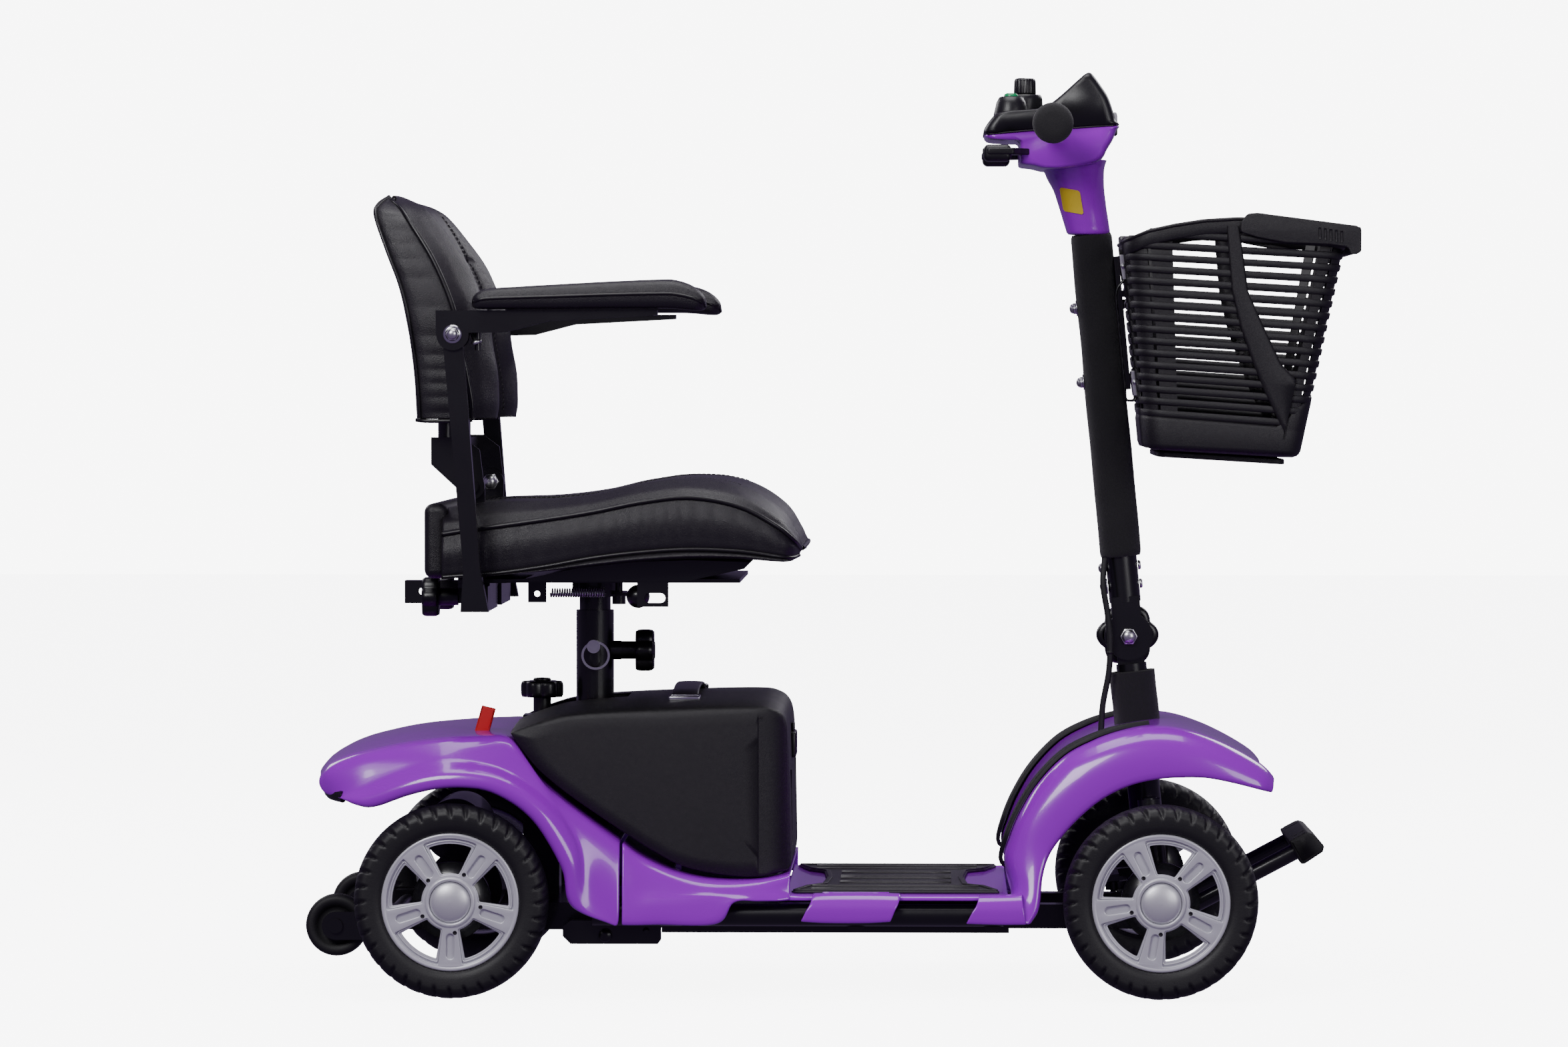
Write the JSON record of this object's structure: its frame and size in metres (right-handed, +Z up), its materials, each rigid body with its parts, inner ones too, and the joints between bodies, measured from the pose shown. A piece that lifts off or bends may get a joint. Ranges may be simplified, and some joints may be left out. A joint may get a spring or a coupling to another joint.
{
  "type": "mobility scooter",
  "caption": "Four-wheel mobility scooter with a swivel seat, folding backrest, flip-up armrests, tilting steering tiller and a lift-off front basket.",
  "frame": {"origin": "on the floor, at the middle of the scooter's overall length and width", "axes": "+X forward, +Y to the rider's left, +Z up"},
  "size_m": [1.086, 0.52, 0.956],
  "materials": {
    "body_purple": "high gloss",
    "black_plastic": "fine textured satin",
    "gloss_black_plastic": "semi-gloss",
    "black_frame": "satin powder coat",
    "bright_steel": "zinc plated",
    "silver_rim": "metallic silver",
    "tyre_rubber": "matt",
    "rubber": "matt",
    "foam": "soft matt foam",
    "leather": "soft grained, satin",
    "red_plastic": "gloss",
    "green_plastic": "gloss",
    "cell_wrap": "matt"
  },
  "bodies": {
    "chassis": {"rear_frame": "black_frame", "front_frame": "black_frame", "rear_shroud": "body_purple", "deck_shroud": "body_purple", "front_shroud": "body_purple", "deck_mat": "rubber", "drive_unit": "black_frame", "bumper_pad": "rubber", "controller_box": "black_plastic"},
    "wheel_rear_left": {"tyre_rear_left": "tyre_rubber", "rim_rear_left": "silver_rim"},
    "wheel_rear_right": {"tyre_rear_right": "tyre_rubber", "rim_rear_right": "silver_rim"},
    "wheel_front_left": {"tyre_front_left": "tyre_rubber", "rim_front_left": "silver_rim"},
    "wheel_front_right": {"tyre_front_right": "tyre_rubber", "rim_front_right": "silver_rim"},
    "anti_tip_left": {"anti_tip_wheel_left": "black_plastic"},
    "anti_tip_right": {"anti_tip_wheel_right": "black_plastic"},
    "knuckle_left": {"knuckle_left": "black_frame"},
    "knuckle_right": {"knuckle_right": "black_frame"},
    "tie_rod": {"tie_rod": "black_frame"},
    "steering_stem": {"steering_stem": "black_frame", "stem_foam": "foam", "control_cable": "rubber"},
    "tiller": {"tiller_tube": "black_frame", "tiller_foam": "foam", "tiller_shroud": "body_purple", "tiller_cover": "gloss_black_plastic", "hand_grips": "foam", "basket_bracket": "black_frame", "tiller_bolts": "bright_steel"},
    "clamp_knob": {"clamp_knob": "black_plastic"},
    "throttle_lever": {"throttle_lever": "gloss_black_plastic"},
    "speed_dial": {"speed_dial": "black_plastic"},
    "horn_button": {"horn_button": "green_plastic"},
    "basket": {"basket": "black_plastic"},
    "basket_handle": {"basket_handle": "black_plastic"},
    "freewheel_lever": {"freewheel_lever": "red_plastic"},
    "lock_knob": {"lock_knob": "black_plastic"},
    "battery": {"battery_case": "black_plastic", "battery_cells": "cell_wrap", "battery_strap": "black_plastic"},
    "seat_post": {"post_inner": "black_frame"},
    "post_knob": {"post_knob": "black_plastic"},
    "height_pin": {"height_pin": "bright_steel"},
    "seat": {"seat_frame": "black_frame", "seat_cushion": "leather", "lever_spring": "black_frame"},
    "swivel_lever": {"swivel_lever": "black_frame"},
    "backrest": {"back_frame": "black_frame", "backrest_cushion": "leather"},
    "arm_post_left": {"arm_post_left": "black_frame"},
    "arm_post_right": {"arm_post_right": "black_frame"},
    "armrest_left": {"arm_bracket_left": "black_frame", "arm_pad_left": "leather"},
    "armrest_right": {"arm_bracket_right": "black_frame", "arm_pad_right": "leather"},
    "arm_knob_left": {"arm_knob_left": "black_plastic"},
    "arm_knob_right": {"arm_knob_right": "black_plastic"}
  },
  "joints": [
    {"name": "rear_wheel_left_spin", "type": "hinge", "parent": "chassis", "child": "wheel_rear_left", "pos_m": [-0.393, 0.215, 0.1], "axis": [0, 1, 0], "continuous": true},
    {"name": "front_wheel_left_spin", "type": "hinge", "parent": "knuckle_left", "child": "wheel_front_left", "pos_m": [0.331, 0.215, 0.1], "axis": [0, 1, 0], "continuous": true},
    {"name": "anti_tip_left_spin", "type": "hinge", "parent": "chassis", "child": "anti_tip_left", "pos_m": [-0.516, 0.149, 0.07], "axis": [0, 1, 0], "continuous": true},
    {"name": "rear_wheel_right_spin", "type": "hinge", "parent": "chassis", "child": "wheel_rear_right", "pos_m": [-0.393, -0.215, 0.1], "axis": [0, 1, 0], "continuous": true},
    {"name": "front_wheel_right_spin", "type": "hinge", "parent": "knuckle_right", "child": "wheel_front_right", "pos_m": [0.331, -0.215, 0.1], "axis": [0, 1, 0], "continuous": true},
    {"name": "anti_tip_right_spin", "type": "hinge", "parent": "chassis", "child": "anti_tip_right", "pos_m": [-0.516, -0.149, 0.07], "axis": [0, 1, 0], "continuous": true},
    {"name": "steer", "type": "hinge", "parent": "chassis", "child": "steering_stem", "pos_m": [0.331, 0, 0.1], "axis": [-0.1011, 0, 0.9949], "range_deg": [-25, 25], "deforming": ["control_cable"]},
    {"name": "kingpin_left", "type": "hinge", "parent": "chassis", "child": "knuckle_left", "pos_m": [0.331, 0.168, 0.1], "axis": [-0.1011, 0, 0.9949], "range_deg": [-25, 25]},
    {"name": "kingpin_right", "type": "hinge", "parent": "chassis", "child": "knuckle_right", "pos_m": [0.331, -0.168, 0.1], "axis": [-0.1011, 0, 0.9949], "range_deg": [-25, 25]},
    {"name": "tie_rod_pivot", "type": "hinge", "parent": "steering_stem", "child": "tie_rod", "pos_m": [0.28441, 0, 0.11336], "axis": [-0.1011, 0, 0.9949], "range_deg": [-25, 25]},
    {"name": "tiller_tilt", "type": "hinge", "parent": "steering_stem", "child": "tiller", "pos_m": [0.3042, 0, 0.3629], "axis": [0, 1, 0], "range_deg": [-20, 15], "deforming": ["control_cable"]},
    {"name": "clamp_knob_turn", "type": "hinge", "parent": "tiller", "child": "clamp_knob", "pos_m": [0.3042, 0.0325, 0.3629], "axis": [0, 1, 0], "range_deg": [0, 180]},
    {"name": "throttle_wigwag", "type": "hinge", "parent": "tiller", "child": "throttle_lever", "pos_m": [0.222, 0, 0.869], "axis": [0, 0, 1], "range_deg": [-10, 10], "stiffness_Nm_per_rad": 0.6},
    {"name": "speed_dial_turn", "type": "hinge", "parent": "tiller", "child": "speed_dial", "pos_m": [0.195, 0, 0.935], "axis": [0, 0, 1], "range_deg": [0, 270]},
    {"name": "horn_press", "type": "slide", "parent": "tiller", "child": "horn_button", "axis": [0, 0, -1], "range_m": [0, 0.002], "stiffness_N_per_m": 400},
    {"name": "basket_lift", "type": "slide", "parent": "tiller", "child": "basket", "axis": [-0.0941, 0, 0.9956], "range_m": [0, 0.06]},
    {"name": "basket_handle_lift", "type": "hinge", "parent": "basket", "child": "basket_handle", "pos_m": [0.4205, 0, 0.7893], "axis": [0, -1, 0], "range_deg": [0, 100]},
    {"name": "freewheel_throw", "type": "hinge", "parent": "chassis", "child": "freewheel_lever", "pos_m": [-0.372, -0.12, 0.225], "axis": [0, -1, 0], "range_deg": [0, 22]},
    {"name": "lock_knob_turn", "type": "hinge", "parent": "chassis", "child": "lock_knob", "pos_m": [-0.313, 0, 0.305], "axis": [0, 0, 1], "range_deg": [0, 180]},
    {"name": "battery_lift", "type": "slide", "parent": "chassis", "child": "battery", "axis": [0, 0, 1], "range_m": [0, 0.015]},
    {"name": "seat_height", "type": "slide", "parent": "chassis", "child": "seat_post", "axis": [0, 0, 1], "range_m": [0, 0.075]},
    {"name": "post_knob_turn", "type": "hinge", "parent": "chassis", "child": "post_knob", "pos_m": [-0.205, 0, 0.3475], "axis": [1, 0, 0], "range_deg": [0, 180]},
    {"name": "height_pin_pull", "type": "slide", "parent": "chassis", "child": "height_pin", "axis": [0, -1, 0], "range_m": [0, 0.045]},
    {"name": "seat_swivel", "type": "hinge", "parent": "seat_post", "child": "seat", "pos_m": [-0.257, 0, 0.42], "axis": [0, 0, 1], "continuous": true},
    {"name": "swivel_lever_pull", "type": "hinge", "parent": "seat", "child": "swivel_lever", "pos_m": [-0.229, -0.06, 0.41], "axis": [0, 0, 1], "range_deg": [0, 12], "stiffness_Nm_per_rad": 0.8, "deforming": ["lever_spring"]},
    {"name": "backrest_fold", "type": "hinge", "parent": "seat", "child": "backrest", "pos_m": [-0.377, 0, 0.5226], "axis": [0, 1, 0], "range_deg": [0, 68]},
    {"name": "arm_width_left", "type": "slide", "parent": "seat", "child": "arm_post_left", "axis": [0, 1, 0], "range_m": [0, 0.05]},
    {"name": "armrest_flip_left", "type": "hinge", "parent": "arm_post_left", "child": "armrest_left", "pos_m": [-0.389, 0.236, 0.6785], "axis": [0, -1, 0], "range_deg": [0, 100]},
    {"name": "arm_knob_turn_left", "type": "hinge", "parent": "seat", "child": "arm_knob_left", "pos_m": [-0.42, 0.1, 0.407], "axis": [1, 0, 0], "range_deg": [0, 180]},
    {"name": "arm_width_right", "type": "slide", "parent": "seat", "child": "arm_post_right", "axis": [0, -1, 0], "range_m": [0, 0.05]},
    {"name": "armrest_flip_right", "type": "hinge", "parent": "arm_post_right", "child": "armrest_right", "pos_m": [-0.389, -0.236, 0.6785], "axis": [0, -1, 0], "range_deg": [0, 100]},
    {"name": "arm_knob_turn_right", "type": "hinge", "parent": "seat", "child": "arm_knob_right", "pos_m": [-0.42, -0.1, 0.407], "axis": [1, 0, 0], "range_deg": [0, 180]}
  ],
  "couplings": [
    {"joint": "kingpin_left", "follows": "steer", "ratio": 1},
    {"joint": "kingpin_right", "follows": "steer", "ratio": 1},
    {"joint": "tie_rod_pivot", "follows": "steer", "ratio": -1}
  ]
}
